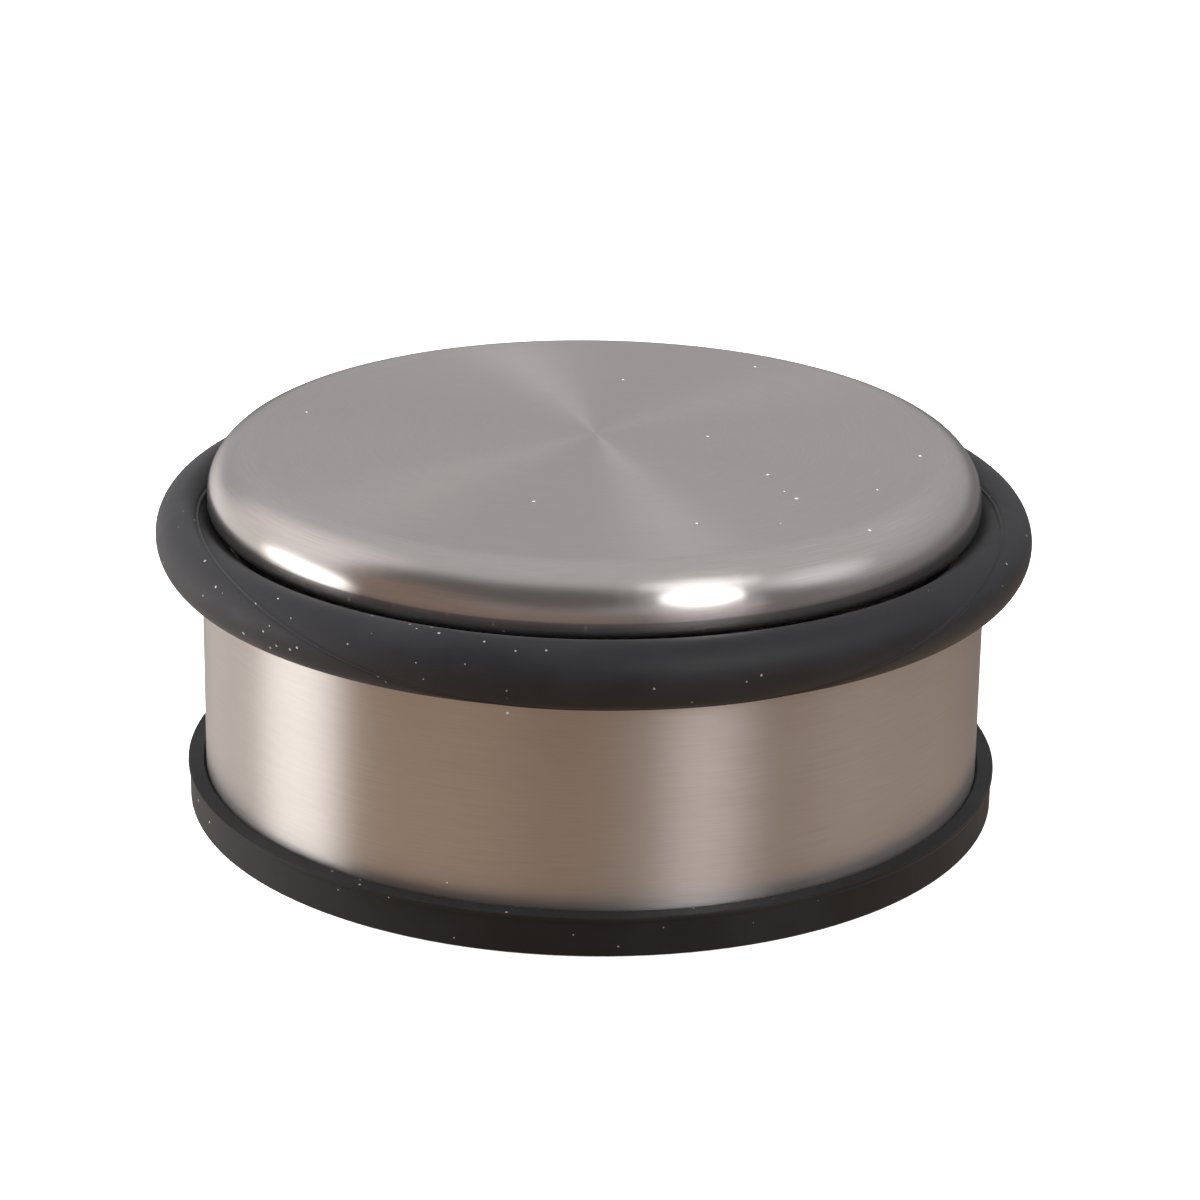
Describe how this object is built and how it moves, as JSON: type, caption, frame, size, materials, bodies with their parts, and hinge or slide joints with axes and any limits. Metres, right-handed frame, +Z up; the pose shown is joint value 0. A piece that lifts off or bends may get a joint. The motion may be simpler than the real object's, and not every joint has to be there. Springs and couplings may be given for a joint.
{
  "type": "weighted door stop",
  "caption": "Round weighted floor door stop: low brushed steel drum with a crowned cap, a black rubber bumper ring in a groove under the cap, and a black rubber foot.",
  "frame": {"origin": "centre of the foot's underside, on the floor", "axes": "+Z up along the axis of revolution; +X and +Y lie in the floor, -Y faces the viewer"},
  "size_m": [0.1006, 0.1006, 0.0435],
  "materials": {
    "brushed_shell": "circular brushed, satin",
    "bumper_rubber": "matte moulded",
    "foot_rubber": "matte moulded",
    "ballast": "as cast",
    "plated_sheet": "zinc plated",
    "plated_fasteners": "zinc plated",
    "foam": "closed-cell foam",
    "tape": "adhesive foam"
  },
  "bodies": {
    "stop": {"top_cap": "brushed_shell", "cap_stud": "plated_fasteners", "cap_pad": "foam", "upper_weight": "ballast", "ring_seat": "plated_sheet", "body_sleeve": "brushed_shell", "lower_weight": "ballast", "stud_washer": "plated_fasteners", "stud_spring_washer": "plated_fasteners", "stud_nut": "plated_fasteners", "base_plate": "plated_sheet", "base_screws": "plated_fasteners", "foot_tape": "tape", "base_foot": "foot_rubber"},
    "bumper": {"bumper_ring": "bumper_rubber"}
  },
  "joints": [
    {"name": "bumper_turn", "type": "hinge", "parent": "stop", "child": "bumper", "pos_m": [0, 0, 0.03255], "axis": [0, 0, 1], "continuous": true}
  ]
}
